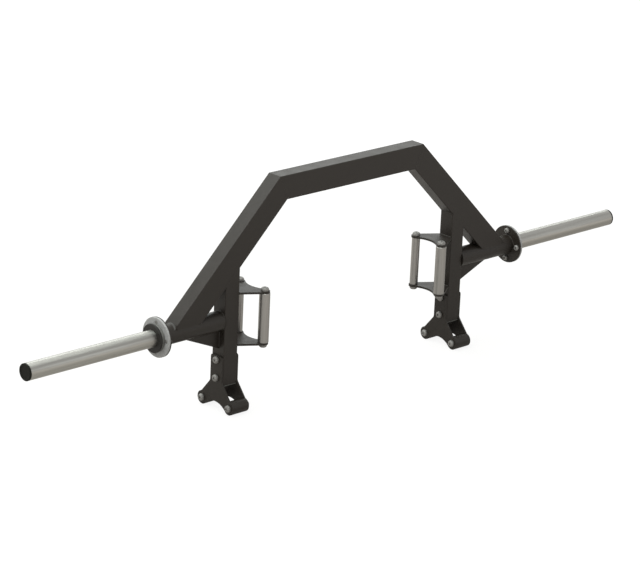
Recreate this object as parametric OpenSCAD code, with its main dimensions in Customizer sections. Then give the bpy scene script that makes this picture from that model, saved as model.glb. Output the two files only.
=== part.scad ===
// Open-ended trap bar, standing on its jack feet with the arch up.
// X runs along the sleeves, -Y is the front, Z is up; the origin is on the floor, midway between the feet.

/* [Arch] */
// Height of the arch's top face above the floor
arch_h = 670; // [640:5:720]
// Half the length of the top bar, measured along its upper edge
arch_half_w = 285; // [265:5:310]
// Slope of the diagonals below the horizontal, in degrees
arch_angle = 45; // [43:1:48]
// Height of the arch tube's section, in the plane of the arch
tube_h = 73; // [65:1:80]
// Depth of the arch tube and of the posts, front to back
tube_d = 51; // [44:1:56]
// Wall thickness of the arch tube and of the posts
tube_wall = 3; // [2:0.5:4]
// Outer corner radius of the rectangular tubes
tube_corner_r = 2; // [1.5:0.5:6]

/* [Posts] */
// Distance of each post's centre from the middle of the bar
post_x = 452; // [435:1:465]
// Width of a post, side to side
post_w = 51; // [44:1:56]
// Height of the post's lower end above the floor
post_bottom = 75; // [66:1:85]
// Thickness of the plastic plug's flange under the post
plug_t = 3; // [2:0.5:4]
// Length of the plug's skirt inside the post
plug_skirt = 9; // [6:1:10]

/* [Outriggers] */
// Height of the sleeve axis above the floor
axis_h = 270; // [262:1:278]
// Outer diameter of the pipe between a post and its flange
pipe_d = 59; // [50:1:62]
// Wall thickness of the pipe
pipe_wall = 4; // [3:0.5:5]
// Bare length of the pipe between the diagonal's end and the flange
stub_len = 45.5; // [30:0.5:60]
// Thickness of the gusset under the pipe
gusset_t = 6; // [4:1:8]
// Length of the gusset along the pipe
gusset_len = 127; // [100:1:140]
// Height of the gusset where it meets the post
gusset_h = 54; // [40:1:60]

/* [Flanges] */
// Diameter of the frame flange and of the sleeve flange
flange_d = 117; // [112:1:130]
// Thickness of the frame flange
frame_flange_t = 4; // [3.5:0.5:8]
// Thickness of the sleeve flange
sleeve_flange_t = 6; // [5:0.5:10]
// Diameter of the circle that the flange bolts stand on
bolt_circle_d = 88; // [84:1:92]
// Number of flange bolts
flange_bolts = 4; // [3:1:6]

/* [Sleeves] */
// Outer diameter of the plate sleeve
sleeve_d = 50; // [48:0.5:50.5]
// Wall thickness of the sleeve tube
sleeve_wall = 5; // [4:0.5:6]
// Plate length of the sleeve, from the stop ring to the end cap
sleeve_len = 437; // [250:1:480]
// Diameter of the stop collar at the sleeve's root
collar_d = 82; // [66:1:90]
// Thickness of the stop collar
collar_t = 8.6; // [6:0.1:12]
// Outer diameter of the black ring on the collar's outboard face
ring_d = 84; // [70:1:90]
// Thickness of the black ring
ring_t = 6; // [4:0.5:10]
// How far the sleeve is turned down for the collar and the ring
seat_step = 1; // [0.5:0.25:1.5]
// Diameter of the spindle inside the sleeve
spindle_d = 30; // [25:1:32]
// Length of each bush
bush_len = 40; // [25:1:60]
// Thickness of the thrust washer
thrust_t = 2; // [1.5:0.5:3]
// Thickness of the washer that keeps the sleeve on
keeper_t = 5; // [4:1:6]
// Distance of the spindle's end from the sleeve's end
spindle_inset = 25; // [22:1:40]
// Chamfer on the rim of the sleeve's outer end
sleeve_chamfer = 1; // [0.5:0.5:2]
// Thickness of the end cap's rim
cap_t = 5.5; // [4:0.5:7]
// Radius of the end cap's rounded edge
cap_round = 2; // [1:0.5:3]
// Depth of the shallow dish in the end cap's face
cap_dish = 1.2; // [0.5:0.1:2]
// Length of the end cap's skirt inside the sleeve
cap_skirt = 8; // [5:1:9]

/* [Handles] */
// Distance of the grips' axes from the post's inner face
grip_reach = 71.5; // [64:0.5:80]
// Distance between the axes of the two grips of a handle
grip_pitch = 108; // [96:1:116]
// Clear length of a grip between its plates
grip_len = 150; // [140:1:155]
// Diameter of the thick grip, at the front
thick_grip_d = 32; // [28:1:36]
// Diameter of the thin grip, at the back
thin_grip_d = 25; // [22:1:28]
// Thickness of a fork plate
fork_t = 6; // [4:0.5:8]
// Radius of a fork plate's horns
fork_horn_r = 15; // [13:0.5:18]
// How far the fork's hollow front edge lies behind the grips' axes
fork_hollow = 4; // [0:1:10]

/* [Feet] */
// Thickness of a foot plate
foot_t = 5; // [4:0.5:8]
// Width of a foot plate where it lies on the post
foot_w = 50; // [44:1:56]
// How far a foot plate reaches up the post
foot_lap = 90; // [82:1:100]
// Distance between the axes of the front and back foot tubes
foot_pitch = 116; // [104:1:130]
// Radius of the foot plate's horns and of the foot tubes
foot_horn_r = 20; // [18:0.5:22]
// Height of the hollow between the horns above the floor
foot_hollow_h = 25; // [20:1:30]
// Height above the floor where the foot plate starts to flare
foot_neck_h = 84; // [80:1:95]
// Radius of the plate's neck, where the flare starts
foot_neck_r = 14; // [8:1:20]
// Radius of the plate's upper corners
foot_corner_r = 7; // [3:1:10]
// Wall thickness of the foot tubes
foot_tube_wall = 5; // [3:0.5:7]

/* [Fasteners] */
// Diameter of every bolt's shank
bolt_d = 12; // [10:1:12]
// Diameter of the domed heads on the feet
head_d = 21; // [19:0.5:22]
// Height of the domed heads on the feet
head_h = 9; // [7:0.5:10]
// Diameter of the domed heads on the grips
grip_head_d = 23.5; // [21:0.5:25]
// Height of the domed heads on the grips
grip_head_h = 10; // [8:0.5:11]
// Diameter of the domed heads on the flanges
flange_head_d = 17; // [16:0.5:19]
// Height of the domed heads on the flanges
flange_head_h = 7.5; // [6:0.5:9]
// Width across flats of the hex socket in a head
socket_w = 6; // [5:0.5:7]
// Depth of the hex socket
socket_depth = 3; // [2.5:0.5:4]
// Width across flats of the nuts on the foot bolts
nut_w = 18; // [17:0.5:20]
// Height of a nut
nut_h = 10; // [8:0.5:12]
// How far a foot bolt's end stands out of its nut
bolt_tip = 2.5; // [1:0.5:5]
// Distance from the post's end to the lower bolt through it
post_bolt_edge = 22; // [20:1:26]
// Distance between the two bolts through the post
post_bolt_pitch = 55; // [45:1:58]
// How far a grip bolt reaches into its grip
grip_bolt_depth = 28; // [20:1:40]
// How far the end bolt reaches into the spindle
end_bolt_depth = 30; // [20:1:45]

/* [Clearances] */
// Radial play of a bolt in a drilled hole
hole_play = 0.5; // [0.3:0.1:1]
// Radial play of a bolt in its tapped hole
thread_play = 0.1; // [0.05:0.05:0.2]
// Radial play of the bushes on the spindle
run_play = 0.05; // [0.02:0.01:0.09]
// Radial play of pieces that are pushed together
push_play = 0.05; // [0.02:0.01:0.1]
// End play of the sleeve on its spindle
end_play = 0.3; // [0.2:0.1:0.6]
// Root gap where a tube is coped over a pipe
weld_gap = 0.15; // [0.1:0.05:0.3]

/* [Hidden] */
$fn = 72;
LEFT = -1;
RIGHT = 1;
// Longer than anything on the bar, for cuts that run right through
far = 1500;
// Angle at which a foot plate's flare meets its horn
foot_waist_angle = 78;
edge_r = 1.5;
// Inner corner radius of the rectangular tubes
tube_inner_r = max(tube_corner_r - tube_wall, 0.5);

post_inner = post_x - post_w / 2;
post_outer = post_x + post_w / 2;
pipe_r = pipe_d / 2;
// The diagonal's upper edge ends where it comes down to the pipe's crest
diagonal_end = arch_half_w + (arch_h - axis_h - pipe_r) / tan(arch_angle);
flange_x = diagonal_end + stub_len;
joint_x = flange_x + frame_flange_t;
hub_x = joint_x + sleeve_flange_t;
collar_x = hub_x + end_play;
ring_x = collar_x + collar_t;
tube_x = hub_x + thrust_t + end_play;
ring_face = ring_x + ring_t;
sleeve_end = ring_face + sleeve_len;
spindle_end = sleeve_end - spindle_inset;
sleeve_r = sleeve_d / 2;
sleeve_bore_r = sleeve_r - sleeve_wall;
seat_r = sleeve_r - seat_step;
spindle_r = spindle_d / 2;
spigot = frame_flange_t - 1.5;
bolt_r = bolt_d / 2;

grip_x = post_inner - grip_reach;
grip_y = grip_pitch / 2;
upper_fork_z = axis_h + grip_len / 2;
lower_fork_z = axis_h - grip_len / 2 - fork_t;

foot_y = foot_pitch / 2;
foot_top = post_bottom + foot_lap;
post_bolt_z = [post_bottom + post_bolt_edge, post_bottom + post_bolt_edge + post_bolt_pitch];
foot_bolt_places = [[0, post_bolt_z[0]], [0, post_bolt_z[1]], [-foot_y, foot_horn_r], [foot_y, foot_horn_r]];

coat = [0.16, 0.15, 0.14];
bright_steel = [0.72, 0.72, 0.72];
zinc = [0.66, 0.67, 0.66];
black_plastic = [0.07, 0.07, 0.07];
bronze = [0.72, 0.52, 0.28];

// Points along a circle's arc about c, from angle a0 to angle a1
function arc(c, r, a0, a1, n = 12) =
    [for (i = [0:n]) c + r * [cos(a0 + (a1 - a0) * i / n), sin(a0 + (a1 - a0) * i / n)]];

// The same points seen in a mirror along the first axis, in reverse order
function mirrored(points) = [for (i = [len(points) - 1:-1:0]) [-points[i][0], points[i][1]]];

// Radius of the hollow arc that touches two horns of radius r, whose centres lie s either side of
// the middle, and that rises e past the line through those centres
function hollow_r(s, e, r) = (s * s + e * e - r * r) / (2 * (r + e));

// Outline of a foot plate in Y and Z: parallel sides, necks, flares, two round horns and a hollow
function foot_outline() =
    let (b = foot_w / 2, s = foot_y, r = foot_horn_r, rise = foot_hollow_h - foot_horn_r,
        waist = [s, r] + r * [cos(foot_waist_angle), sin(foot_waist_angle)],
        lean = atan2(waist[0] - b, foot_neck_h - waist[1]),
        neck = [b + foot_neck_r, foot_neck_h + foot_neck_r * tan(lean / 2)],
        big_r = hollow_r(s, rise, r), big_c = [0, foot_hollow_h - big_r],
        touch = atan2(r - big_c[1], s),
        side = concat(arc([b - foot_corner_r, foot_top - foot_corner_r], foot_corner_r, 90, 0, 6),
            arc(neck, foot_neck_r, 180, 180 + lean, 6),
            arc([s, r], r, foot_waist_angle, touch - 180, 18)),
        hollow = arc(big_c, big_r, touch, 180 - touch, 16))
    concat(side, [for (i = [1:len(hollow) - 2]) hollow[i]], mirrored(side));

// Outline of a fork plate: Y across, and the distance from the post's inner face along it
function fork_outline() =
    let (b = tube_d / 2, s = grip_y, r = fork_horn_r, span = norm([s - b, grip_reach]),
        slope = atan2(s - b, grip_reach) + asin(r / span),
        big_r = hollow_r(s, fork_hollow, r), big_c = [0, grip_reach - fork_hollow + big_r],
        touch = atan2(grip_reach - big_c[1], s),
        side = concat([[b, 0]], arc([s, grip_reach], r, -slope, touch + 180, 18)),
        hollow = arc(big_c, big_r, touch, -180 - touch, 16))
    concat(side, [for (i = [1:len(hollow) - 2]) hollow[i]], mirrored(side));

// Closed rectangle with round corners, centred
module round_rect(w, d, r) {
    x = w / 2 - r;
    y = d / 2 - r;
    polygon(concat(arc([x, y], r, 0, 90, 5), arc([-x, y], r, 90, 180, 5),
        arc([-x, -y], r, 180, 270, 5), arc([x, -y], r, 270, 360, 5)));
}

// Rectangular tube standing on the origin
module box_tube(w, d, length) {
    linear_extrude(length)
        difference() {
            round_rect(w, d, tube_corner_r);
            round_rect(w - 2 * tube_wall, d - 2 * tube_wall, tube_inner_r);
        }
}

// Draws a right-hand piece on the side asked for
module on_side(side) {
    mirror([side == LEFT ? 1 : 0, 0, 0]) children();
}

// Puts a turned piece, drawn along Z, on the sleeve axis with its foot at x
module on_axis(x) {
    translate([x, 0, axis_h]) rotate([0, 90, 0]) children();
}

// Frame at the arch's upper corner, turned down by the given angle
module at_corner(angle) {
    translate([arch_half_w, 0, arch_h]) rotate([0, angle, 0]) children();
}

// Everything beyond the mitre plane between the top bar and the diagonal
module beyond_mitre() {
    at_corner(arch_angle / 2) translate([0, -far / 2, -far / 2]) cube([far, far, far]);
}

// Everything on the arch's side of the diagonal's under face
module above_diagonal() {
    at_corner(arch_angle) translate([-far, -far / 2, -tube_h]) cube([2 * far, far, far]);
}

// Domed button head with a hex socket, its seat at z = 0 and its crown up
module dome_head(d, h) {
    wall_h = 0.4 * h;
    dome_w = 0.62 * (d / 2 - edge_r);
    difference() {
        rotate_extrude()
            polygon(concat([[0, 0], [d / 2 - edge_r / 3, 0], [d / 2, edge_r / 3], [d / 2, wall_h]],
                [for (a = [15:15:90]) [d / 2 - dome_w * (1 - cos(a)), wall_h + (h - wall_h) * sin(a)]],
                [[0, h]]));
        translate([0, 0, h - socket_depth])
            cylinder(d = socket_w / cos(30), h = socket_depth + 1, $fn = 6);
    }
}

// Button-head bolt whose shank runs down from the seat
module dome_bolt(d, h, length) {
    union() {
        dome_head(d, h);
        translate([0, 0, -length + 1]) cylinder(r = bolt_r, h = length);
        translate([0, 0, -length]) cylinder(r1 = bolt_r - 1, r2 = bolt_r, h = 1);
    }
}

// Hex nut whose outer corners are turned off, its seat at z = 0
module hex_nut() {
    outer_r = nut_w * 0.6;
    difference() {
        intersection() {
            cylinder(d = nut_w / cos(30), h = nut_h, $fn = 6);
            rotate_extrude()
                polygon([[0, 0], [outer_r, 0], [outer_r, nut_h - (outer_r - nut_w / 2 + 0.4) * tan(30)],
                    [nut_w / 2 - 0.4, nut_h], [0, nut_h]]);
        }
        translate([0, 0, -1]) cylinder(r = bolt_r + thread_play, h = nut_h + 2);
    }
}

// Solid disc with both rims eased
module eased_disc(d, t, ease) {
    rotate_extrude()
        polygon([[0, 0], [d / 2 - ease, 0], [d / 2, ease], [d / 2, t - ease], [d / 2 - ease, t], [0, t]]);
}

// The bolt circle's places, with the first at the top
module on_bolt_circle() {
    for (i = [0:flange_bolts - 1])
        rotate([0, 0, 180 + i * 360 / flange_bolts]) translate([bolt_circle_d / 2, 0, 0]) children();
}

module top_bar() {
    color(coat) difference() {
        translate([-arch_half_w, 0, arch_h - tube_h / 2]) rotate([0, 90, 0])
            box_tube(tube_h, tube_d, 2 * arch_half_w);
        beyond_mitre();
        mirror([1, 0, 0]) beyond_mitre();
    }
}

module diagonal(side) {
    color(coat) on_side(side) difference() {
        at_corner(arch_angle) translate([-tube_h, 0, -tube_h / 2]) rotate([0, 90, 0])
            box_tube(tube_h, tube_d, far / 2);
        at_corner(arch_angle / 2) translate([-far, -far / 2, -far / 2]) cube([far, far, far]);
        translate([diagonal_end, -far / 2, -far / 2]) cube([far, far, far]);
        translate([0, -far / 2, axis_h - far]) cube([far, far, far]);
        on_axis(post_outer) cylinder(r = pipe_r + weld_gap, h = far / 2);
    }
}

module post(side) {
    color(coat) on_side(side) difference() {
        translate([post_x, 0, post_bottom + plug_t]) box_tube(post_w, tube_d, arch_h - post_bottom);
        above_diagonal();
        for (z = post_bolt_z)
            translate([post_inner - 1, 0, z]) rotate([0, 90, 0])
                cylinder(r = bolt_r + hole_play, h = post_w + 2);
    }
}

// Plastic plug under the post: a flange the size of the tube and an open skirt inside it
module post_plug(side) {
    skirt_w = post_w - 2 * tube_wall - 2 * push_play;
    skirt_d = tube_d - 2 * tube_wall - 2 * push_play;
    skirt_wall = 2;
    color(black_plastic) on_side(side) translate([post_x, 0, post_bottom]) union() {
        linear_extrude(plug_t) round_rect(post_w, tube_d, tube_corner_r);
        linear_extrude(plug_t + plug_skirt)
            difference() {
                round_rect(skirt_w, skirt_d, tube_inner_r + 1);
                round_rect(skirt_w - 2 * skirt_wall, skirt_d - 2 * skirt_wall, 0.5);
            }
    }
}

module pipe(side) {
    color(coat) on_side(side) on_axis(post_outer) difference() {
        cylinder(r = pipe_r, h = flange_x - post_outer);
        translate([0, 0, -1]) cylinder(r = pipe_r - pipe_wall, h = flange_x - post_outer + 2);
    }
}

// Triangular plate in the middle plane, from the pipe's underside to the post
module gusset(side) {
    top = axis_h - pipe_r - weld_gap;
    nose = 3;
    color(coat) on_side(side) rotate([90, 0, 0]) translate([0, 0, -gusset_t / 2])
        linear_extrude(gusset_t)
            polygon([[post_outer, top], [post_outer + gusset_len, top],
                [post_outer + gusset_len - nose, top - nose / 2], [post_outer, top - gusset_h]]);
}

module frame_flange(side) {
    color(coat) on_side(side) on_axis(flange_x) difference() {
        eased_disc(flange_d, frame_flange_t, 1);
        translate([0, 0, -1]) cylinder(r = spindle_r + 4 * push_play, h = frame_flange_t + 2);
        on_bolt_circle() translate([0, 0, -1]) cylinder(r = bolt_r + hole_play, h = frame_flange_t + 2);
    }
}

module flange_bolt_set(side) {
    color(zinc) on_side(side) on_axis(flange_x) on_bolt_circle()
        mirror([0, 0, 1])
            dome_bolt(flange_head_d, flange_head_h, frame_flange_t + sleeve_flange_t - 0.5);
}

// Plate that carries one end of both grips, welded to the post's inner face
module fork(side, z) {
    color(coat) on_side(side) translate([post_inner, 0, z]) difference() {
        rotate([0, 0, 90]) linear_extrude(fork_t) polygon(fork_outline());
        for (y = [-grip_y, grip_y])
            translate([-grip_reach, y, -1]) cylinder(r = bolt_r + hole_play, h = fork_t + 2);
    }
}

// Grip bar with a tapped hole in each end
module grip(side, d, y) {
    chamfer = 1;
    color(bright_steel) on_side(side) translate([grip_x, y, axis_h - grip_len / 2]) difference() {
        rotate_extrude()
            polygon([[0, 0], [d / 2 - chamfer, 0], [d / 2, chamfer], [d / 2, grip_len - chamfer],
                [d / 2 - chamfer, grip_len], [0, grip_len]]);
        for (z = [-1, grip_len - grip_bolt_depth - 1])
            translate([0, 0, z]) cylinder(r = bolt_r + thread_play, h = grip_bolt_depth + 2);
    }
}

module grip_bolt_set(side) {
    color(zinc) on_side(side)
        for (y = [-grip_y, grip_y]) {
            translate([grip_x, y, upper_fork_z + fork_t])
                dome_bolt(grip_head_d, grip_head_h, fork_t + grip_bolt_depth);
            translate([grip_x, y, lower_fork_z]) mirror([0, 0, 1])
                dome_bolt(grip_head_d, grip_head_h, fork_t + grip_bolt_depth);
        }
}

// Foot plate whose lower-X face is at x
module foot_plate(side, x) {
    color(coat) on_side(side) difference() {
        translate([x, 0, 0]) rotate([90, 0, 90]) linear_extrude(foot_t) polygon(foot_outline());
        for (p = foot_bolt_places)
            translate([x - 1, p[0], p[1]]) rotate([0, 90, 0])
                cylinder(r = bolt_r + hole_play, h = foot_t + 2);
    }
}

module foot_tube_set(side) {
    color(coat) on_side(side)
        for (y = [-foot_y, foot_y])
            translate([post_inner, y, foot_horn_r]) rotate([0, 90, 0]) difference() {
                cylinder(r = foot_horn_r, h = post_w);
                translate([0, 0, -1]) cylinder(r = foot_horn_r - foot_tube_wall, h = post_w + 2);
            }
}

// Both feet are the same assembly: heads on their -X face and nuts on their +X face
module foot_bolt_set(side) {
    color(zinc)
        for (p = foot_bolt_places)
            translate([side * post_x - post_w / 2 - foot_t, p[0], p[1]]) rotate([0, -90, 0])
                dome_bolt(head_d, head_h, post_w + 2 * foot_t + nut_h + bolt_tip);
}

module foot_nut_set(side) {
    color(zinc)
        for (p = foot_bolt_places)
            translate([side * post_x + post_w / 2 + foot_t, p[0], p[1]]) rotate([0, 90, 0]) hex_nut();
}

// Bright disc that the spindle is welded into, tapped for the flange bolts
module sleeve_flange(side) {
    color(bright_steel) on_side(side) on_axis(joint_x) difference() {
        eased_disc(flange_d, sleeve_flange_t, 1);
        translate([0, 0, -1]) cylinder(r = spindle_r + push_play, h = sleeve_flange_t + 2);
        on_bolt_circle() translate([0, 0, -1])
            cylinder(r = bolt_r + thread_play, h = sleeve_flange_t + 2);
    }
}

// Fixed axle: a spigot in the frame flange, two journals and a relieved waist between them
module spindle(side) {
    length = spindle_end - joint_x + spigot;
    first = spigot + sleeve_flange_t + thrust_t + end_play + bush_len;
    last = length - bush_len - 2 * end_play;
    relief = 1.5;
    color(bright_steel) on_side(side) on_axis(joint_x - spigot) difference() {
        rotate_extrude()
            polygon([[0, 0], [spindle_r - 1, 0], [spindle_r, 1], [spindle_r, first + 2],
                [spindle_r - relief, first + 2 + relief], [spindle_r - relief, last - 2 - relief],
                [spindle_r, last - 2], [spindle_r, length], [0, length]]);
        translate([0, 0, length - end_bolt_depth - 1])
            cylinder(r = bolt_r + thread_play, h = end_bolt_depth + 2);
    }
}

module thrust_washer(side) {
    color(bronze) on_side(side) on_axis(hub_x) difference() {
        cylinder(r = sleeve_bore_r + 2, h = thrust_t);
        translate([0, 0, -1]) cylinder(r = spindle_r + 4 * push_play, h = thrust_t + 2);
    }
}

module keeper_washer(side) {
    color(zinc) on_side(side) on_axis(spindle_end) difference() {
        cylinder(r = sleeve_bore_r - 1.5, h = keeper_t);
        translate([0, 0, -1]) cylinder(r = bolt_r + hole_play, h = keeper_t + 2);
    }
}

module end_bolt(side) {
    color(zinc) on_side(side) on_axis(spindle_end + keeper_t)
        dome_bolt(head_d, head_h, keeper_t + end_bolt_depth);
}

// Tube that the plates slide on, turned down at its root for the collar and the ring
module sleeve(side) {
    color(bright_steel) on_side(side) on_axis(tube_x)
        rotate_extrude()
            polygon([[sleeve_bore_r, 0], [seat_r, 0], [seat_r, ring_face - tube_x],
                [sleeve_r, ring_face - tube_x], [sleeve_r, sleeve_end - tube_x - sleeve_chamfer],
                [sleeve_r - sleeve_chamfer, sleeve_end - tube_x], [sleeve_bore_r, sleeve_end - tube_x]]);
}

// Ring of outer diameter d on the sleeve's seat, with an eased rim
module seat_ring(d, t, ease) {
    bore_r = seat_r + push_play;
    rotate_extrude()
        polygon([[bore_r, 0], [d / 2 - ease / 2, 0], [d / 2, ease / 2], [d / 2, t - ease],
            [d / 2 - ease, t], [bore_r, t]]);
}

// Bright collar at the sleeve's root that turns beside the sleeve flange
module stop_collar(side) {
    color(bright_steel) on_side(side) on_axis(collar_x) seat_ring(collar_d, collar_t, 0.6);
}

// Black ring on the collar that the plates rest against
module stop_ring(side) {
    color(black_plastic) on_side(side) on_axis(ring_x) seat_ring(ring_d, ring_t, 1.5);
}

// The two bushes that the sleeve runs on, one at each end of the spindle
module bush_pair(side) {
    color(bronze) on_side(side)
        for (x = [tube_x, spindle_end - bush_len - end_play])
            on_axis(x) difference() {
                cylinder(r = sleeve_bore_r - push_play, h = bush_len);
                translate([0, 0, -1]) cylinder(r = spindle_r + run_play, h = bush_len + 2);
            }
}

// Plastic cap: a round-edged, dished rim the size of the sleeve and an open skirt inside it
module end_cap(side) {
    skirt_r = sleeve_bore_r - push_play;
    skirt_wall = 2.5;
    dish_r = sleeve_r - 6;
    color(black_plastic) on_side(side) on_axis(sleeve_end)
        rotate_extrude()
            polygon(concat([[0, 0], [skirt_r - skirt_wall, 0], [skirt_r - skirt_wall, -cap_skirt],
                [skirt_r, -cap_skirt], [skirt_r, 0], [sleeve_r, 0]],
                arc([sleeve_r - cap_round, cap_t - cap_round], cap_round, 0, 90, 6),
                [[dish_r, cap_t], [dish_r - cap_dish, cap_t - cap_dish], [0, cap_t - cap_dish]]));
}

top_bar();
diagonal(LEFT);  // left_diagonal
diagonal(RIGHT);  // right_diagonal
post(LEFT);  // left_post
post(RIGHT);  // right_post
post_plug(LEFT);  // left_post_plug
post_plug(RIGHT);  // right_post_plug
pipe(LEFT);  // left_pipe
pipe(RIGHT);  // right_pipe
gusset(LEFT);  // left_gusset
gusset(RIGHT);  // right_gusset
frame_flange(LEFT);  // left_frame_flange
frame_flange(RIGHT);  // right_frame_flange
flange_bolt_set(LEFT);  // left_flange_bolts
flange_bolt_set(RIGHT);  // right_flange_bolts
fork(LEFT, upper_fork_z);  // left_upper_fork
fork(LEFT, lower_fork_z);  // left_lower_fork
fork(RIGHT, upper_fork_z);  // right_upper_fork
fork(RIGHT, lower_fork_z);  // right_lower_fork
grip(LEFT, thick_grip_d, -grip_y);  // left_thick_grip
grip(LEFT, thin_grip_d, grip_y);  // left_thin_grip
grip(RIGHT, thick_grip_d, -grip_y);  // right_thick_grip
grip(RIGHT, thin_grip_d, grip_y);  // right_thin_grip
grip_bolt_set(LEFT);  // left_grip_bolts
grip_bolt_set(RIGHT);  // right_grip_bolts
foot_plate(LEFT, post_outer);  // left_outer_foot_plate
foot_plate(LEFT, post_inner - foot_t);  // left_inner_foot_plate
foot_plate(RIGHT, post_outer);  // right_outer_foot_plate
foot_plate(RIGHT, post_inner - foot_t);  // right_inner_foot_plate
foot_tube_set(LEFT);  // left_foot_tubes
foot_tube_set(RIGHT);  // right_foot_tubes
foot_bolt_set(LEFT);  // left_foot_bolts
foot_bolt_set(RIGHT);  // right_foot_bolts
foot_nut_set(LEFT);  // left_foot_nuts
foot_nut_set(RIGHT);  // right_foot_nuts
sleeve_flange(LEFT);  // left_sleeve_flange
sleeve_flange(RIGHT);  // right_sleeve_flange
spindle(LEFT);  // left_spindle
spindle(RIGHT);  // right_spindle
thrust_washer(LEFT);  // left_thrust_washer
thrust_washer(RIGHT);  // right_thrust_washer
keeper_washer(LEFT);  // left_keeper_washer
keeper_washer(RIGHT);  // right_keeper_washer
end_bolt(LEFT);  // left_end_bolt
end_bolt(RIGHT);  // right_end_bolt
sleeve(LEFT);  // left_sleeve
sleeve(RIGHT);  // right_sleeve
stop_collar(LEFT);  // left_stop_collar
stop_collar(RIGHT);  // right_stop_collar
stop_ring(LEFT);  // left_stop_ring
stop_ring(RIGHT);  // right_stop_ring
bush_pair(LEFT);  // left_bushes
bush_pair(RIGHT);  // right_bushes
end_cap(LEFT);  // left_end_cap
end_cap(RIGHT);  // right_end_cap
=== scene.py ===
"""Looks of an open-ended trap bar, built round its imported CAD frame.

Every length is in metres in the CAD's own frame: X along the sleeves, -Y the front, Z up, floor at zero.
"""

from __future__ import annotations

import logging
import math
from dataclasses import dataclass, field, replace
from enum import Enum
from typing import Any, Iterable, Sequence

import bpy
import numpy as np
from mathutils import Matrix, Vector


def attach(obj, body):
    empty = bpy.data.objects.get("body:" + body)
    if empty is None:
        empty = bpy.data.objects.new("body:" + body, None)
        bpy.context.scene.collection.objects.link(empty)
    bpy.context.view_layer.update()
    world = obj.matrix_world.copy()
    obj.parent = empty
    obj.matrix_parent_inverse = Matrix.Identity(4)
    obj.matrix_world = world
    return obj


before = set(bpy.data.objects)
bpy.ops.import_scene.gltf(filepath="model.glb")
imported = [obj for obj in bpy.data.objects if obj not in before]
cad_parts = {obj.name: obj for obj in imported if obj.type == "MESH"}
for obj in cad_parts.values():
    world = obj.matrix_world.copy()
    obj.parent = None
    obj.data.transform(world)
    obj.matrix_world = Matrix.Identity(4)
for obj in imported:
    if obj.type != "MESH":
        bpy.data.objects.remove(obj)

LOG = logging.getLogger("trap_bar")
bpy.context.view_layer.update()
MM = 0.001
WHITE = (1.0, 1.0, 1.0, 1.0)
# Nearly all of a noise texture's values lie in these ranges, for patches and for fine marks.
PATCH_RANGE = (0.35, 0.65)
MARK_RANGE = (0.3, 0.7)
# Faces that meet at more than this angle keep a crisp edge.
CRISP_ANGLE = math.radians(35.0)
# The X and Z of a unit direction along a diagonal, which slopes at 45 degrees.
SLOPE = math.sqrt(0.5)
# Points along a straight seam, along a ring, across a tube's cut end and across a bead's face.
SEAM_POINTS = 9
RING_POINTS = 97
END_POINTS = 41
FACE_POINTS = 9
# A bead has this many rings to a ripple, and its leg shrinks by this share between ripples.
RINGS_PER_RIPPLE = 4
RIPPLE_SHARE = 0.06


class Side(Enum):
    """Which half of the bar a piece is on: its name's prefix and the sign of its X."""

    LEFT = ("left", -1.0)
    RIGHT = ("right", 1.0)

    @property
    def prefix(self) -> str:
        """Prefix of this side's node names."""
        return self.value[0]

    def placed(self, points: np.ndarray) -> np.ndarray:
        """The given right-hand points, mirrored in X for the left-hand side."""
        return points * np.array([self.value[1], 1.0, 1.0])


class Face(Enum):
    """Which face of the bar a weld is on: the end of its name and the sign of its Y."""

    FRONT = ("front", -1.0)
    BACK = ("back", 1.0)

    @property
    def tag(self) -> str:
        """End of the names of this face's welds."""
        return self.value[0]

    @property
    def outward(self) -> np.ndarray:
        """Unit direction out of this face."""
        return np.array([0.0, self.value[1], 0.0])


class Grain(Enum):
    """Direction that a metal's marks run in, as the row axis they are long along."""

    ALONG_X = 0
    ALONG_Z = 2
    NONE = 3


def linear(hex_colour: str) -> tuple[float, float, float, float]:
    """Turns an sRGB hex colour into linear RGBA.

    The sRGB curve is a straight line of slope 12.92 for the darkest values. Above them it is a power of
    2.4, shifted by 0.055 so that it runs on from the line and still reaches one.

    Args:
        hex_colour: Six hex digits, such as "3a3632".

    Returns:
        The linear colour with alpha 1.
    """
    parts = np.array([int(hex_colour[i : i + 2], 16) for i in (0, 2, 4)]) / 255.0
    low = parts / 12.92
    high = ((parts + 0.055) / 1.055) ** 2.4
    rgb = np.where(parts <= 0.04045, low, high)
    return (float(rgb[0]), float(rgb[1]), float(rgb[2]), 1.0)


def add_node(
    tree: bpy.types.NodeTree, kind: str, inputs: dict[Any, Any] | None = None, **settings: Any
) -> bpy.types.Node:
    """Adds a shader node with its settings, input values and links.

    Args:
        tree: The node tree it goes into.
        kind: Blender's name of the node type, without the ShaderNode prefix.
        inputs: Values or output sockets by input name or number.
        **settings: The node's own properties.

    Returns:
        The new node.
    """
    node = tree.nodes.new("ShaderNode" + kind)
    for key, value in settings.items():
        setattr(node, key, value)
    for key, value in (inputs or {}).items():
        if isinstance(value, bpy.types.NodeSocket):
            tree.links.new(value, node.inputs[key])
        else:
            node.inputs[key].default_value = value
    return node


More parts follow.
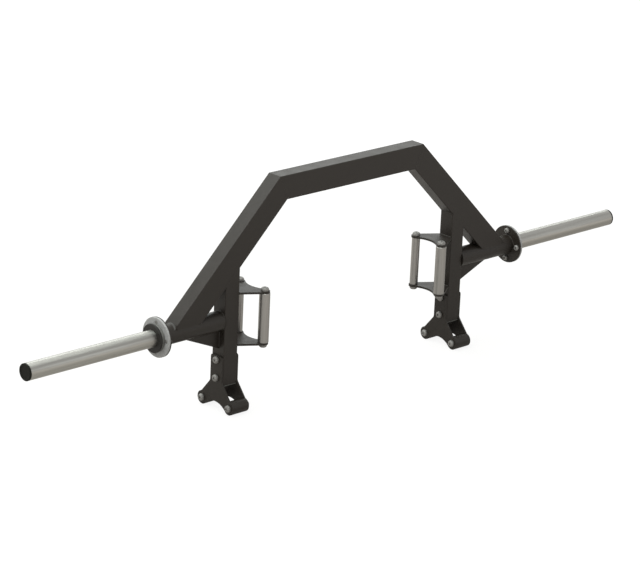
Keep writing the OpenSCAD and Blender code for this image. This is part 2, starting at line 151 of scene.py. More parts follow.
@dataclass(frozen=True)
class Finish:
    """A surface finish, from which one material is made.

    Attributes:
        name: Real material and how its surface was made.
        colour: Base colour in sRGB hex.
        tint: Second colour in sRGB hex, for the mottling.
        roughness: Mean roughness.
        spread: How far the roughness varies either side of its mean.
        metallic: Metallic value.
        specular: Specular level, 0.5 for common plastics and paint.
        mottle_mm: Size of the patches of tint and roughness.
        relief_mm: Size of the finest marks in the surface.
        depth_mm: Height of those marks.
        grain: Direction the marks are long along.
        stretch: How many times longer than wide the marks are.
        edge_mm: Radius of the soft edges that catch the light, 0 for none.
        smear: How far highlights are drawn out along X, by marks that run round a turned surface.
    """

    name: str
    colour: str
    tint: str
    roughness: float
    spread: float
    metallic: float
    specular: float
    mottle_mm: float
    relief_mm: float
    depth_mm: float
    grain: Grain = Grain.NONE
    stretch: float = 1.0
    edge_mm: float = 0.0
    smear: float = 0.0

    def material(self) -> bpy.types.Material:
        """The finish's node material, made on first use."""
        found = bpy.data.materials.get(self.name)
        return found if found else self._build()

    def _scale(self, size_mm: float) -> tuple[float, float, float]:
        """Noise scale per axis for marks of a given width.

        Args:
            size_mm: Width of a mark.

        Returns:
            Scales for a Mapping node in metres, smaller along the grain.
        """
        across = 1.0 / (size_mm * MM)
        scale = [across] * 3
        if self.grain is not Grain.NONE:
            scale[self.grain.value] = across / self.stretch
        return (scale[0], scale[1], scale[2])

    def _build(self) -> bpy.types.Material:
        """Builds the node tree.

        Returns:
            The new material.
        """
        mat = bpy.data.materials.new(self.name)
        mat.use_nodes = True
        tree = mat.node_tree
        tree.nodes.clear()
        place = add_node(tree, "TexCoord").outputs["Object"]
        wide = add_node(tree, "Mapping", {"Vector": place, "Scale": self._scale(self.mottle_mm)})
        patches = add_node(
            tree, "TexNoise", {"Vector": wide.outputs[0], "Scale": 1.0, "Detail": 3.0, "Roughness": 0.55}
        )
        fine = add_node(tree, "Mapping", {"Vector": place, "Scale": self._scale(self.relief_mm)})
        marks = add_node(
            tree, "TexNoise", {"Vector": fine.outputs[0], "Scale": 1.0, "Detail": 2.0, "Roughness": 0.5}
        )
        fade = add_node(
            tree,
            "MapRange",
            {"Value": patches.outputs["Fac"], "From Min": PATCH_RANGE[0], "From Max": PATCH_RANGE[1]},
        )
        colour = add_node(
            tree,
            "MixRGB",
            {"Fac": fade.outputs[0], "Color1": linear(self.colour), "Color2": linear(self.tint)},
        )
        uneven = patches if self.grain is Grain.NONE else marks
        rough = add_node(
            tree,
            "MapRange",
            {
                "Value": uneven.outputs["Fac"],
                "From Min": MARK_RANGE[0],
                "From Max": MARK_RANGE[1],
                "To Min": self.roughness - self.spread,
                "To Max": self.roughness + self.spread,
            },
        )
        relief = {"Height": marks.outputs["Fac"], "Strength": 1.0, "Distance": self.depth_mm * MM}
        if self.edge_mm:
            soft = add_node(tree, "Bevel", {"Radius": self.edge_mm * MM}, samples=6)
            relief["Normal"] = soft.outputs[0]
        bump = add_node(tree, "Bump", relief)
        inputs: dict[Any, Any] = {
            "Base Color": colour.outputs[0],
            "Roughness": rough.outputs[0],
            "Metallic": self.metallic,
            "Specular IOR Level": self.specular,
            "Normal": bump.outputs[0],
        }
        if self.smear:
            inputs["Anisotropic"] = self.smear
            inputs["Tangent"] = add_node(tree, "CombineXYZ", {"X": 1.0}).outputs[0]
        shader = add_node(tree, "BsdfPrincipled", inputs)
        add_node(tree, "OutputMaterial", {"Surface": shader.outputs[0]})
        return mat


# Polyester powder coat on steel: near-black, satin, with the shallow orange peel of a cured powder film.
POWDER_COAT = Finish(
    name="powder_coat_cured_satin_black",
    colour="231e19",
    tint="27221e",
    roughness=0.46,
    spread=0.05,
    metallic=0.0,
    specular=0.28,
    mottle_mm=40.0,
    relief_mm=1.6,  # real orange peel is about 1 to 2 mm across
    depth_mm=0.05,
    edge_mm=1.5,
)
# The same coat over welds, which have no sharp edges of their own.
WELD_COAT = replace(POWDER_COAT, name="powder_coat_cured_over_weld", edge_mm=0.0)
# Cold-drawn steel bar under satin chrome: its draw marks run along the grip as faint streaks.
DRAWN_GRIP = Finish(
    name="steel_bar_drawn_satin_plated",
    colour="93918e",
    tint="898784",
    roughness=0.36,
    spread=0.07,
    metallic=1.0,
    specular=0.5,
    mottle_mm=5.0,  # drawn marks are finer: this is as coarse as the render shows
    relief_mm=1.5,
    depth_mm=0.02,
    grain=Grain.ALONG_Z,
    stretch=40.0,
    edge_mm=0.4,
)
# Turned steel tube under satin chrome: marks round the tube smear its highlights lengthwise, and plates
# leave faint rub marks along it.
TURNED_SLEEVE = Finish(
    name="steel_tube_turned_satin_chrome",
    colour="9f9e99",
    tint="979590",
    roughness=0.34,
    spread=0.03,
    metallic=1.0,
    specular=0.5,
    mottle_mm=9.0,
    relief_mm=2.0,
    depth_mm=0.005,
    grain=Grain.ALONG_X,
    stretch=30.0,
    edge_mm=0.4,
    smear=0.7,
)
# Turned steel discs under zinc, whose pale bloom scatters half the light as paint does.
TURNED_FLANGE = Finish(
    name="steel_disc_turned_zinc_plated",
    colour="a9a8a7",
    tint="a09f9e",
    roughness=0.8,
    spread=0.05,
    metallic=0.45,
    specular=0.5,
    mottle_mm=7.0,
    relief_mm=1.2,
    depth_mm=0.03,
    edge_mm=0.3,
)
# The stop collar's rim: the flange's zinc in a darker colour, painted shade for the soft shadow beside the
# stop ring.
TURNED_COLLAR = replace(TURNED_FLANGE, name="steel_collar_turned_zinc_painted_shade", colour="747370", tint="6c6b68")
# Forged button-head screws under bright zinc: cool, slightly cloudy.
ZINC_SCREW = Finish(
    name="steel_screw_forged_bright_zinc",
    colour="93918e",
    tint="8a8885",
    roughness=0.72,
    spread=0.06,
    metallic=1.0,
    specular=0.5,
    mottle_mm=4.0,
    relief_mm=0.6,
    depth_mm=0.02,
    edge_mm=0.4,
)
# Turned steel ring under a black coat: satin, with a fine texture from its tumbling.
BLACK_RING = Finish(
    name="steel_ring_turned_black_coat",
    colour="201e1c",
    tint="262422",
    roughness=0.5,
    spread=0.05,
    metallic=0.0,
    specular=0.25,
    mottle_mm=12.0,
    relief_mm=0.5,
    depth_mm=0.03,
    edge_mm=0.6,
)
# Moulded polyethylene plugs and caps: duller and softer at the edges than the coat.
PLUG_PLASTIC = Finish(
    name="polyethylene_plug_moulded_black",
    colour="171814",
    tint="1d1e1a",
    roughness=0.5,
    spread=0.06,
    metallic=0.0,
    specular=0.08,
    mottle_mm=9.0,
    relief_mm=0.7,
    depth_mm=0.04,
    edge_mm=0.7,
)
# Moulded plug in a post's end, a lighter grey than the other plugs as a painted highlight for the light its
# rim catches, with a soft edge that catches the light.
POST_PLUG = Finish(
    name="polyethylene_plug_moulded_painted_highlight",
    colour="4c4c48",
    tint="53534f",
    roughness=0.45,
    spread=0.05,
    metallic=0.0,
    specular=0.4,
    mottle_mm=9.0,
    relief_mm=0.7,
    depth_mm=0.04,
    edge_mm=1.2,
)
# Sintered bronze bearing: warm and porous, hidden inside the sleeve.
BRONZE_BUSH = Finish(
    name="bronze_bush_sintered",
    colour="9c7a45",
    tint="86673a",
    roughness=0.5,
    spread=0.08,
    metallic=1.0,
    specular=0.5,
    mottle_mm=3.0,
    relief_mm=0.4,
    depth_mm=0.04,
)


def dress(names: Iterable[str], finish: Finish) -> None:
    """Gives CAD nodes a finish, and leaves their meshes as they are.

    Args:
        names: Node names.
        finish: The finish for all of them.
    """
    for name in names:
        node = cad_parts[name]
        node.data.materials.clear()
        node.data.materials.append(finish.material())
        LOG.info("dressed %s in %s", name, finish.name)


def grid_mesh(name: str, points: np.ndarray, closed_u: bool) -> bpy.types.Object:
    """Makes a closed solid from a grid of points: rings of a tube, joined end to end or capped.

    Face k of ring i joins points (i, k), (i + 1, k), (i + 1, k + 1) and (i, k + 1), counted round each way.
    The faces are turned round if the sum of centre times normal times area, three times the volume, is
    negative.

    Args:
        name: Object name.
        points: Array of shape (rings, points in a ring, 3), each ring in order round its path.
        closed_u: Whether the last ring joins the first. Otherwise both ends are capped.

    Returns:
        The new object, at the origin.
    """
    rings, count, _ = points.shape
    last = rings if closed_u else rings - 1
    ring, step = np.meshgrid(np.arange(last), np.arange(count), indexing="ij")
    here, ahead = ring * count, (ring + 1) % rings * count
    turned = (step + 1) % count
    quads = np.stack([here + step, ahead + step, ahead + turned, here + turned], axis=-1)
    faces = quads.reshape(-1, 4).tolist()
    if not closed_u:
        faces += [list(range(count)), list(range((rings - 1) * count, rings * count))[::-1]]
    mesh = bpy.data.meshes.new(name)
    mesh.from_pydata(points.reshape(-1, 3).tolist(), [], faces)
    mesh.update()
    centres, normals, areas = (np.empty(len(mesh.polygons) * n) for n in (3, 3, 1))
    mesh.polygons.foreach_get("center", centres)
    mesh.polygons.foreach_get("normal", normals)
    mesh.polygons.foreach_get("area", areas)
    if (centres * normals).reshape(-1, 3).sum(axis=1) @ areas < 0.0:
        mesh.flip_normals()
    mesh.shade_smooth()
    mesh.set_sharp_from_angle(angle=CRISP_ANGLE)
    obj = bpy.data.objects.new(name, mesh)
    bpy.context.scene.collection.objects.link(obj)
    return obj


@dataclass
class Seam:
    """One fillet weld: a path, and the two directions that its legs lie along.

    Attributes:
        path: Corner points, shape (n, 3).
        leg_a: Unit directions along the first face, away from the corner, shape (n, 3) or (3,).
        leg_b: The same along the second face.
        leg: Length of a leg.
        closed: Whether the path is a ring.
    """

    path: np.ndarray
    leg_a: np.ndarray
    leg_b: np.ndarray
    leg: float
    closed: bool = False

    def points(self, pitch: float) -> np.ndarray:
        """The bead's surface on a grid.

        A section is its corner and a hollow arc from one leg's end to the other, where the two legs weigh
        in as one minus the sine and one minus the cosine of the arc's angle, so the face runs smoothly into
        both plates. Along the path the leg swells and shrinks by the ripple's share as a rectified sine of
        the given pitch, which leaves the ripples.

        Args:
            pitch: Distance between ripples.

        Returns:
            Array of shape (rings, points in a ring, 3).
        """
        steps = np.linalg.norm(np.diff(self.path, axis=0), axis=1)
        along = np.concatenate([[0.0], np.cumsum(steps)])
        count = max(int(along[-1] / pitch * RINGS_PER_RIPPLE), 2 * RINGS_PER_RIPPLE)
        at = np.linspace(0.0, along[-1], count, endpoint=not self.closed)

        def spread(vectors: np.ndarray) -> np.ndarray:
            """One vector for each ring, interpolated between those of the path's points."""
            wide = np.broadcast_to(vectors, self.path.shape)
            return np.stack([np.interp(at, along, wide[:, j]) for j in range(3)], axis=1)[:, None]

        corner, leg_a, leg_b = (spread(vectors) for vectors in (self.path, self.leg_a, self.leg_b))
        size = self.leg * (1.0 - RIPPLE_SHARE * (1.0 - np.abs(np.sin(math.pi * at / pitch))))
        arc = np.linspace(0.0, math.pi / 2, FACE_POINTS)[None, :, None]
        weighed = leg_a * (1.0 - np.sin(arc)) + leg_b * (1.0 - np.cos(arc))
        face = corner + size[:, None, None] * weighed
        return np.concatenate([face, corner], axis=1)


@dataclass
class ArchFrame:
    """The welded arch: top bar, diagonals, posts, outrigger pipes, gussets and frame flanges.

    Attributes:
        arch_h: Height of the arch's top face.
        arch_half_w: Half the length of the top bar's upper edge.
        tube_h: Height of the arch tube's section, in the plane of the arch.
        half_depth: Half the tubes' depth, front to back.
        corner_r: Corner radius of the rectangular tubes.
        post_inner: Distance of a post's inner face from the middle.
        post_outer: Distance of a post's outer face from the middle.
        pipe_r: Radius of an outrigger pipe.
        axis_h: Height of the sleeve axis.
        flange_x: Distance of the frame flange's inboard face from the middle.
        diagonal_end: Distance at which a diagonal ends on its pipe.
        gusset_t: Thickness of a gusset.
        gusset_len: Length of a gusset's edge on the pipe.
        gusset_h: Height of a gusset's edge on the post.
        leg: Leg length of the weld between a post and its diagonal.
        saddle_leg: Leg length where a diagonal is coped over its pipe.
        gusset_leg: Leg length between a gusset and its pipe.
        fine_leg: Leg length round the pipe's ends and between a gusset and its post.
        ripple: Pitch of a bead's ripples.
    """

    arch_h: float = 670 * MM
    arch_half_w: float = 285 * MM
    tube_h: float = 73 * MM
    half_depth: float = 25.5 * MM
    corner_r: float = 2 * MM
    post_inner: float = 426.5 * MM
    post_outer: float = 477.5 * MM
    pipe_r: float = 29.5 * MM
    axis_h: float = 270 * MM
    flange_x: float = 701 * MM
    diagonal_end: float = 655.5 * MM
    gusset_t: float = 6 * MM
    gusset_len: float = 127 * MM
    gusset_h: float = 54 * MM
    leg: float = 5 * MM
    saddle_leg: float = 3 * MM
    gusset_leg: float = 4 * MM
    fine_leg: float = 2.5 * MM
    ripple: float = 3 * MM

    @property
    def under_sum(self) -> float:
        """X plus Z of any point on a diagonal's under face, which slopes at 45 degrees."""
        return self.arch_h + self.arch_half_w - self.tube_h * math.sqrt(2.0)

    def crossings(self) -> dict[str, Seam]:
        """The right-hand seams that run front to back, and the rings round the pipe.

        Returns:
            Seams whose X is positive, by name.
        """
        reach = self.half_depth - self.corner_r
        across = np.linspace(-reach, reach, SEAM_POINTS)
        turn = np.linspace(0.0, 2 * math.pi, RING_POINTS)
        radial = np.stack([np.zeros_like(turn), np.cos(turn), np.sin(turn)], axis=1)
        down = np.array([0.0, 0.0, -1.0])
        outboard = np.array([1.0, 0.0, 0.0])
        along = np.array([SLOPE, 0.0, -SLOPE])

        def joint(x: float) -> np.ndarray:
            """Straight path across a diagonal's under face at a given X."""
            level = np.ones_like(across)
            return np.stack([level * x, across, level * (self.under_sum - x)], axis=1)

        def ring(x: float) -> np.ndarray:
            """Ring round the pipe at a given X."""
            return radial * self.pipe_r + np.array([x, 0.0, self.axis_h])

        return {
            "post_to_diagonal_outer": Seam(joint(self.post_outer), down, along, self.leg),
            "post_to_diagonal_inner": Seam(joint(self.post_inner), down, -along, self.leg),
            "pipe_to_post": Seam(ring(self.post_outer), outboard, radial, self.fine_leg, True),
            "pipe_to_flange": Seam(ring(self.flange_x), -outboard, radial, self.fine_leg, True),
        }

    def lengthwise(self, face: Face) -> dict[str, Seam]:
        """The right-hand seams that run along the pipe or up the post, on one face of the bar.

        A saddle seam starts where the diagonal's under face meets the pipe's surface at the tube's side, at
        a height above the axis of the root of the pipe's radius squared less the tube's half depth squared.
        Its second leg lies along the pipe's tangent there.

        Args:
            face: The face of the bar.

        Returns:
            Seams whose X is positive, by name.
        """
        climb = math.sqrt(self.pipe_r**2 - self.half_depth**2)
        upright, outboard = np.array([0.0, 0.0, 1.0]), np.array([1.0, 0.0, 0.0])
        tangent = (face.outward * climb - upright * self.half_depth) / self.pipe_r
        start = self.under_sum - self.axis_h - climb
        under = self.axis_h - self.pipe_r
        # How far each bead stops short of its joint's two ends
        foot, end = 6 * MM, 2 * MM
        root, nose = 5 * MM, 11 * MM
        margin = 4 * MM

        def run(x: Sequence[float], depth: float, z: Sequence[float]) -> np.ndarray:
            """Draws a straight path on the face.

            Args:
                x: First and last X.
                depth: Distance from the bar's middle plane.
                z: First and last Z.

            Returns:
                Evenly spaced points, shape (n, 3).
            """
            level = np.zeros(SEAM_POINTS)
            path = np.stack([np.linspace(*x, SEAM_POINTS), level, np.linspace(*z, SEAM_POINTS)], axis=1)
            return path + face.outward * depth

        crest = self.axis_h + climb
        saddle = run((start + foot, self.diagonal_end - end), self.half_depth, (crest, crest))
        tip = self.post_outer + self.gusset_len
        reach = run((self.post_outer + root, tip - nose), self.gusset_t / 2, (under, under))
        rise = run(
            (self.post_outer, self.post_outer),
            self.gusset_t / 2,
            (under - self.gusset_h + margin, under - margin),
        )
        return {
            f"diagonal_to_pipe_{face.tag}": Seam(saddle, upright, tangent, self.saddle_leg),
            f"gusset_to_pipe_{face.tag}": Seam(reach, -upright, face.outward, self.gusset_leg),
            f"gusset_to_post_{face.tag}": Seam(rise, outboard, face.outward, self.fine_leg),
        }

    def build(self) -> None:
        """Dresses the frame's nodes and lays its weld beads."""
        dress(["top_bar"], POWDER_COAT)
        coated = ("diagonal", "post", "pipe", "gusset", "frame_flange")
        for side in Side:
            dress([f"{side.prefix}_{part}" for part in coated], POWDER_COAT)
            dress([f"{side.prefix}_flange_bolts"], ZINC_SCREW)
            dress([f"{side.prefix}_post_plug"], POST_PLUG)
        seams = self.crossings() | self.lengthwise(Face.FRONT) | self.lengthwise(Face.BACK)
        for name, seam in seams.items():
            lay_bead(name, seam, self.ripple)
        self.fill_grooves()
        self.blend_ends()

    def blend_ends(self) -> None:
        """Runs the diagonals' cut ends smoothly into the pipes.

        At each Y the pipe's surface is the root of its radius squared less Y squared above the axis, and
        lies a drop h below the crest, where the diagonal's top face ends. The weld's section is a quadratic
        Bezier curve from a point up the top face, drawn towards one near the foot of the cut, to one out on
        the pipe. Both lie further out where h is larger. A last point inside the tube's wall closes the
        section.
        """
        inset = 1 * MM
        start_up = 1.4 * MM
        pull_out, pull_share, lift_share = 0.7 * MM, 0.3, 0.15
        end_out, end_share = 4 * MM, 0.5
        root_in = 0.5 * MM
        y = np.linspace(inset - self.half_depth, self.half_depth - inset, END_POINTS)
        zero = np.zeros_like(y)
        crest = self.axis_h + self.pipe_r
        floor = self.axis_h + np.sqrt(self.pipe_r**2 - y**2)
        h = crest - floor
        x = self.diagonal_end
        start = np.stack([x - start_up + zero, y, crest + start_up + zero], axis=1)
        pull = np.stack([x + pull_out + pull_share * h, y, floor + lift_share * h], axis=1)
        end = np.stack([x + end_out + end_share * h, y, floor], axis=1)
        root = np.stack([x - root_in + zero, y, floor - root_in], axis=1)
        t = np.linspace(0.0, 1.0, FACE_POINTS)[None, :, None]
        curve = (1 - t) ** 2 * start[:, None] + 2 * t * (1 - t) * pull[:, None] + t**2 * end[:, None]
        points = np.concatenate([curve, root[:, None]], axis=1)
        for side in Side:
            lay_solid(f"weld_{side.prefix}_diagonal_end", side.placed(points), False)

    def fill_grooves(self) -> None:
        """Fills the grooves between the posts' cut ends and the diagonals' rounded edges, ground flush.

        A section has six points: three just proud of the tubes' front or back face, which lie down the
        post, on the joint and up the diagonal, two under the outer ones at the fill's thickness, and one at
        the groove's root. It runs straight along the joint.
        """
        proud = self.half_depth + 0.15 * MM
        root = self.half_depth - self.corner_r
        thickness = 0.3 * MM
        down_post, up_diagonal = 4 * MM, 5 * MM
        inset = 1.5 * MM
        x = np.linspace(self.post_inner + inset, self.post_outer - inset, 2 * SEAM_POINTS - 1)
        joint = np.stack([x, np.zeros_like(x), self.under_sum - x], axis=1)
        low = np.array([0.0, 0.0, -down_post])
        high = np.array([SLOPE, 0.0, SLOPE]) * up_diagonal
        for face in Face:
            top, skin, deep = (joint + face.outward * y for y in (proud, proud - thickness, root))
            points = np.stack([top + low, top, top + high, skin + high, deep, skin + low], axis=1)
            for side in Side:
                lay_solid(f"flare_{side.prefix}_{face.tag}", side.placed(points), False)


def lay_bead(name: str, seam: Seam, ripple: float) -> None:
    """Makes a weld bead on both sides of the bar.

    Args:
        name: What the weld joins.
        seam: The right-hand seam.
        ripple: Pitch of the ripples.
    """
    points = seam.points(ripple)
    for side in Side:
        lay_solid(f"weld_{side.prefix}_{name}", side.placed(points), seam.closed)


def lay_solid(name: str, points: np.ndarray, closed: bool) -> None:
    """Makes one coated solid of the welded frame from its grid of points.

    Args:
        name: Object name.
        points: Array of shape (rings, points in a ring, 3).
        closed: Whether the last ring joins the first.
    """
    obj = grid_mesh(name, points, closed)
    obj.data.materials.append(WELD_COAT.material())
    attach(obj, "frame")
    LOG.info("laid %s with %d faces", obj.name, len(obj.data.polygons))


@dataclass
class Handles:
    """The two handles: fork plates, thick and thin grips, and their bolts.

    Attributes:
        post_inner: Distance of a post's inner face from the middle.
        root_half: Half the width of a fork plate at the post.
        plate_z: Lower and upper face of each fork plate.
        leg: Leg length of the fillet welds.
        ripple: Pitch of a bead's ripples.
    """

    post_inner: float = ArchFrame.post_inner
    root_half: float = 23.5 * MM
    plate_z: tuple[tuple[float, float], ...] = ((189 * MM, 195 * MM), (345 * MM, 351 * MM))
    leg: float = ArchFrame.fine_leg
    ripple: float = ArchFrame.ripple

    def build(self) -> None:
        """Dresses the handles' nodes and lays the welds between forks and posts."""
        for side in Side:
            dress([f"{side.prefix}_{level}_fork" for level in ("upper", "lower")], POWDER_COAT)
            dress([f"{side.prefix}_{size}_grip" for size in ("thick", "thin")], DRAWN_GRIP)
            dress([f"{side.prefix}_grip_bolts"], ZINC_SCREW)
        y = np.linspace(-self.root_half, self.root_half, SEAM_POINTS)
        for level, (low, high) in zip(("lower", "upper"), self.plate_z):
            for face, z, up in (("under", low, -1.0), ("top", high, 1.0)):
                path = np.stack([np.full_like(y, self.post_inner), y, np.full_like(y, z)], axis=1)
                seam = Seam(path, np.array([-1.0, 0.0, 0.0]), np.array([0.0, 0.0, up]), self.leg)
                lay_bead(f"{level}_fork_{face}", seam, self.ripple)


@dataclass
class JackFeet:
    """The two bolted feet that the bar stands on while it is loaded.

    Attributes:
        plates: Last parts of the coated pieces' names.
        fasteners: Last parts of the plated pieces' names.
    """

    plates: tuple[str, ...] = ("outer_foot_plate", "inner_foot_plate", "foot_tubes")
    fasteners: tuple[str, ...] = ("foot_bolts", "foot_nuts")

    def build(self) -> None:
        """Dresses the feet's nodes."""
        for side in Side:
            dress([f"{side.prefix}_{part}" for part in self.plates], POWDER_COAT)
            dress([f"{side.prefix}_{part}" for part in self.fasteners], ZINC_SCREW)


@dataclass
class SleeveUnits:
    """The two turning sleeves and the fixed carriers inside them.

    Attributes:
        finishes: The finish of each piece, by the last part of its name.
    """

    finishes: dict[str, Finish] = field(
        default_factory=lambda: {
            "sleeve": TURNED_SLEEVE,
            "stop_collar": TURNED_COLLAR,
            "sleeve_flange": TURNED_FLANGE,
            "spindle": TURNED_SLEEVE,
            "stop_ring": BLACK_RING,
            "end_cap": PLUG_PLASTIC,
            "bushes": BRONZE_BUSH,
            "thrust_washer": BRONZE_BUSH,
            "keeper_washer": ZINC_SCREW,
            "end_bolt": ZINC_SCREW,
        }
    )

    def build(self) -> None:
        """Dresses the sleeves' nodes."""
        for side in Side:
            for part, finish in self.finishes.items():
                dress([f"{side.prefix}_{part}"], finish)


def seen_white(tree: bpy.types.NodeTree, mirror_share: float) -> bpy.types.NodeSocket:
    """Adds the share with which a ray sees the stage's own white.

    Args:
        tree: The stage material's or the world's node tree.
        mirror_share: The share that reflections see.

    Returns:
        One for camera and transmission rays, the mirror share for glossy ones, and none for the rest.
    """
    rays = add_node(tree, "LightPath").outputs
    glossy = add_node(tree, "Math", {0: rays["Is Glossy Ray"], 1: mirror_share}, operation="MULTIPLY")
    some = add_node(tree, "Math", {0: rays["Is Camera Ray"], 1: glossy.outputs[0]}, operation="MAXIMUM")
    seen = add_node(tree, "Math", {0: some.outputs[0], 1: rays["Is Transmission Ray"]}, operation="MAXIMUM")
    return seen.outputs[0]


def mirror_level(tree: bpy.types.NodeTree, change: bpy.types.NodeSocket) -> bpy.types.NodeSocket:
    """Adds a level of one that changes in reflections alone.

    Args:
        tree: The node tree it goes into.
        change: What reflections see added to one.

    Returns:
        One, plus the change for glossy rays.
    """
    rays = add_node(tree, "LightPath").outputs
    level = add_node(tree, "Math", {0: rays["Is Glossy Ray"], 1: change, 2: 1.0}, operation="MULTIPLY_ADD")
    return level.outputs[0]


@dataclass(frozen=True)
class Softbox:
    """A rectangular lamp that faces a point.

    Attributes:
        name: Lamp name.
        place: Position.
        target: Point it faces.
        size: Width and height.
        power: Power in watts.
        colour: Linear colour, by default the faintly green white of the photograph's upper light.
    """

    name: str
    place: tuple[float, float, float]
    target: tuple[float, float, float]
    size: tuple[float, float]
    power: float
    colour: tuple[float, float, float] = (0.93, 1.0, 0.97)

    def build(self) -> None:
        """Adds the lamp to the scene."""
        data = bpy.data.lights.new(self.name, "AREA")
        data.shape, data.color, data.energy = "RECTANGLE", self.colour, self.power
        data.size, data.size_y = self.size
        lamp = bpy.data.objects.new(self.name, data)
        lamp.location = self.place
        facing = Vector(self.target) - Vector(self.place)
        lamp.rotation_euler = facing.to_track_quat("-Z", "Y").to_euler()
        bpy.context.scene.collection.objects.link(lamp)


SOFTBOXES = (
    Softbox("overhead", place=(-1.3, 0.3, 3.6), target=(0.0, 0.0, 0.3), size=(3.4, 3.2), power=163.0),
    Softbox("rear_right", place=(3.9, 4.3, 3.9), target=(0.0, 0.0, 0.4), size=(4.4, 1.8), power=59.0),
    Softbox("rear_left", place=(0.2, 4.0, 3.8), target=(0.0, 0.0, 0.4), size=(2.4, 2.0), power=66.0),
    Softbox("left_fill", place=(-5.0, -1.6, 0.9), target=(0.0, 0.0, 0.3), size=(3.0, 1.2), power=24.0),
    Softbox("front_right", place=(1.7, -2.9, 1.4), target=(-1.0, 0.0, 0.3), size=(2.0, 1.0), power=3.2),
)


@dataclass
class PaperFloor:
    """Pale matte paper that glows white to the eye and in reflections, and keeps the object's shadow.

    Attributes:
        size: Side of the square.
        paper: Colour of the paper under the lamps, in sRGB hex.
        near: Distance from the middle up to which the glow has its smallest share.
        far: Distance from which it has its largest.
        shares: The smallest and the largest share: the open floor is white and the shadow stays.
        glow: Strength of the glow, above one to make up for the paper's share.
        mirror_share: How much of its share the glow keeps in reflections.
        mirror_colour: Colour of the glow in reflections in sRGB hex, a little warm.
        mirror_reach: Distance before and behind the bar at which the reflected glow is strongest.
        mirror_change: What is added to the reflected glow's level of one under the bar, as painted shade,
            and at the reach, as painted light.
    """

    size: float = 60.0
    paper: str = "a29f9b"
    near: float = 1.2
    far: float = 4.0
    shares: tuple[float, float] = (0.7, 0.97)
    glow: float = 1.27
    mirror_share: float = 0.6
    mirror_colour: str = "f9f3ec"
    mirror_reach: float = 1.3
    mirror_change: tuple[float, float] = (-0.25, 0.6)

    def material(self) -> bpy.types.Material:
        """Makes the floor's material.

        Returns:
            A mix of paper and glow, by distance from the middle and by kind of ray.
        """
        mat = bpy.data.materials.new("floor_paper_matte_white")
        mat.use_nodes = True
        tree = mat.node_tree
        tree.nodes.clear()
        spot = add_node(tree, "TexCoord").outputs["Object"]
        away = add_node(tree, "VectorMath", {0: spot}, operation="LENGTH").outputs["Value"]
        takes = add_node(
            tree,
            "MapRange",
            {
                "Value": away,
                "From Min": self.near,
                "From Max": self.far,
                "To Min": self.shares[0],
                "To Max": self.shares[1],
            },
        )
        seen = seen_white(tree, self.mirror_share)
        share = add_node(tree, "Math", {0: seen, 1: takes.outputs[0]}, operation="MULTIPLY")
        across = add_node(tree, "SeparateXYZ", {0: spot}).outputs["Y"]
        apart = add_node(tree, "Math", {0: across}, operation="ABSOLUTE")
        # Painted shade under the bar and painted light out to the reach, seen only in reflections.
        change = add_node(
            tree,
            "MapRange",
            {
                "Value": apart.outputs[0],
                "From Max": self.mirror_reach,
                "To Min": self.mirror_change[0],
                "To Max": self.mirror_change[1],
            },
        )
        level = mirror_level(tree, change.outputs[0])
        strength = add_node(tree, "Math", {0: level, 1: self.glow}, operation="MULTIPLY")
        glossy = add_node(tree, "LightPath").outputs["Is Glossy Ray"]
        colour = add_node(
            tree, "MixRGB", {"Fac": glossy, "Color1": WHITE, "Color2": linear(self.mirror_colour)}
        )
        glow = add_node(tree, "Emission", {"Color": colour.outputs[0], "Strength": strength.outputs[0]})
        paper = add_node(tree, "BsdfDiffuse", {"Color": linear(self.paper)})
        mix = add_node(tree, "MixShader", {0: share.outputs[0], 1: paper.outputs[0], 2: glow.outputs[0]})
        add_node(tree, "OutputMaterial", {"Surface": mix.outputs[0]})
        return mat

    def build(self) -> None:
        """Lays the floor."""
        h = self.size / 2
        mesh = bpy.data.meshes.new("floor")
        mesh.from_pydata([(-h, -h, 0.0), (h, -h, 0.0), (h, h, 0.0), (-h, h, 0.0)], [], [(0, 1, 2, 3)])
        mesh.materials.append(self.material())
        obj = bpy.data.objects.new("floor", mesh)
        bpy.context.scene.collection.objects.link(obj)


@dataclass
class Surroundings:
    """The world: white to the eye and in reflections, and a plain grey light otherwise.

    In reflections it fades higher up, as a studio's dark ceiling does, and is brightest behind the bar.

    Attributes:
        light: Strength of the grey light.
        fade_from: Sine of the elevation at which the reflected white starts to fade.
        fade: What is added to its level of one up to there, and straight up.
        behind: What is added straight behind the bar, and taken away before it.
    """

    light: float = 0.55
    fade_from: float = 0.2
    fade: tuple[float, float] = (0.1, -0.25)
    behind: float = 0.15

    def build(self) -> None:
        """Makes the world and its shader."""
        world = bpy.data.worlds.new("studio_white")
        bpy.context.scene.world = world
        world.use_nodes = True
        tree = world.node_tree
        tree.nodes.clear()
        way = add_node(tree, "SeparateXYZ", {0: add_node(tree, "TexCoord").outputs["Generated"]}).outputs
        fall = add_node(
            tree,
            "MapRange",
            {"Value": way["Z"], "From Min": self.fade_from, "To Min": self.fade[0], "To Max": self.fade[1]},
        )
        change = add_node(
            tree, "Math", {0: way["Y"], 1: self.behind, 2: fall.outputs[0]}, operation="MULTIPLY_ADD"
        )
        level = mirror_level(tree, change.outputs[0])
        dim = add_node(tree, "Background", {"Color": WHITE, "Strength": self.light})
        bright = add_node(tree, "Background", {"Color": WHITE, "Strength": level})
        seen = seen_white(tree, 1.0)
        mix = add_node(tree, "MixShader", {0: seen, 1: dim.outputs[0], 2: bright.outputs[0]})
        add_node(tree, "OutputWorld", {"Surface": mix.outputs[0]})


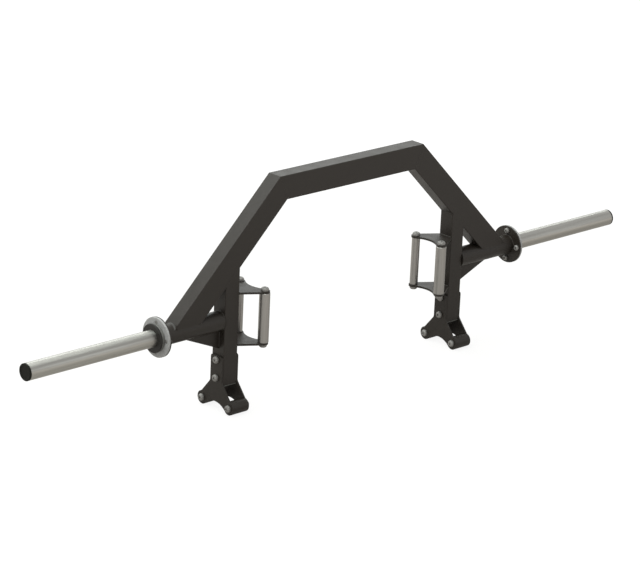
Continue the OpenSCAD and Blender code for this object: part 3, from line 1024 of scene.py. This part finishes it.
@dataclass
class Studio:
    """Camera, surroundings, floor and lamps.

    Attributes:
        eye: Camera position, fitted to the photograph.
        azimuth: Camera azimuth in degrees, 0 looking along +Y.
        elevation: Camera elevation in degrees.
        roll: Roll about the line of sight in degrees.
        lens: Focal length in millimetres.
        sensor: Sensor width in millimetres.
        clip: Nearest and furthest distance that the camera sees.
    """

    eye: tuple[float, float, float] = (-5.6464, -5.8544, 3.1063)
    azimuth: float = -43.508
    elevation: float = 19.138
    roll: float = 2.544
    lens: float = 164.36
    sensor: float = 36.0
    clip: tuple[float, float] = (0.1, 100.0)

    def camera(self) -> None:
        """Places the camera.

        The line of sight comes from azimuth and elevation, and the roll turns the image axes about it.
        """
        a, e, r = (math.radians(v) for v in (self.azimuth, self.elevation, self.roll))
        back = Vector((math.sin(a) * math.cos(e), -math.cos(a) * math.cos(e), math.sin(e)))
        level = (-back).cross(Vector((0.0, 0.0, 1.0))).normalized()
        upright = level.cross(-back)
        right = level * math.cos(r) + upright * math.sin(r)
        up = upright * math.cos(r) - level * math.sin(r)
        data = bpy.data.cameras.new("camera")
        data.lens, data.sensor_width, data.sensor_fit = self.lens, self.sensor, "HORIZONTAL"
        data.clip_start, data.clip_end = self.clip
        cam = bpy.data.objects.new("camera", data)
        turn = Matrix((right, up, back)).transposed()
        cam.matrix_world = Matrix.Translation(self.eye) @ turn.to_4x4()
        bpy.context.scene.collection.objects.link(cam)
        bpy.context.scene.camera = cam

    def build(self) -> None:
        """Sets up the whole studio."""
        bpy.context.scene.view_settings.view_transform = "Standard"
        self.camera()
        Surroundings().build()
        PaperFloor().build()
        for softbox in SOFTBOXES:
            softbox.build()
            LOG.info("lit %s", softbox.name)


def main() -> None:
    """Builds the studio and each sub-assembly in order."""
    logging.basicConfig(level=logging.INFO, format="%(name)s: %(message)s")
    parts: list[Studio | ArchFrame | Handles | JackFeet | SleeveUnits] = [
        Studio(),
        ArchFrame(),
        Handles(),
        JackFeet(),
        SleeveUnits(),
    ]
    for part in parts:
        part.build()
        LOG.info("finished %s", type(part).__name__)


if __name__ == "__main__":
    main()
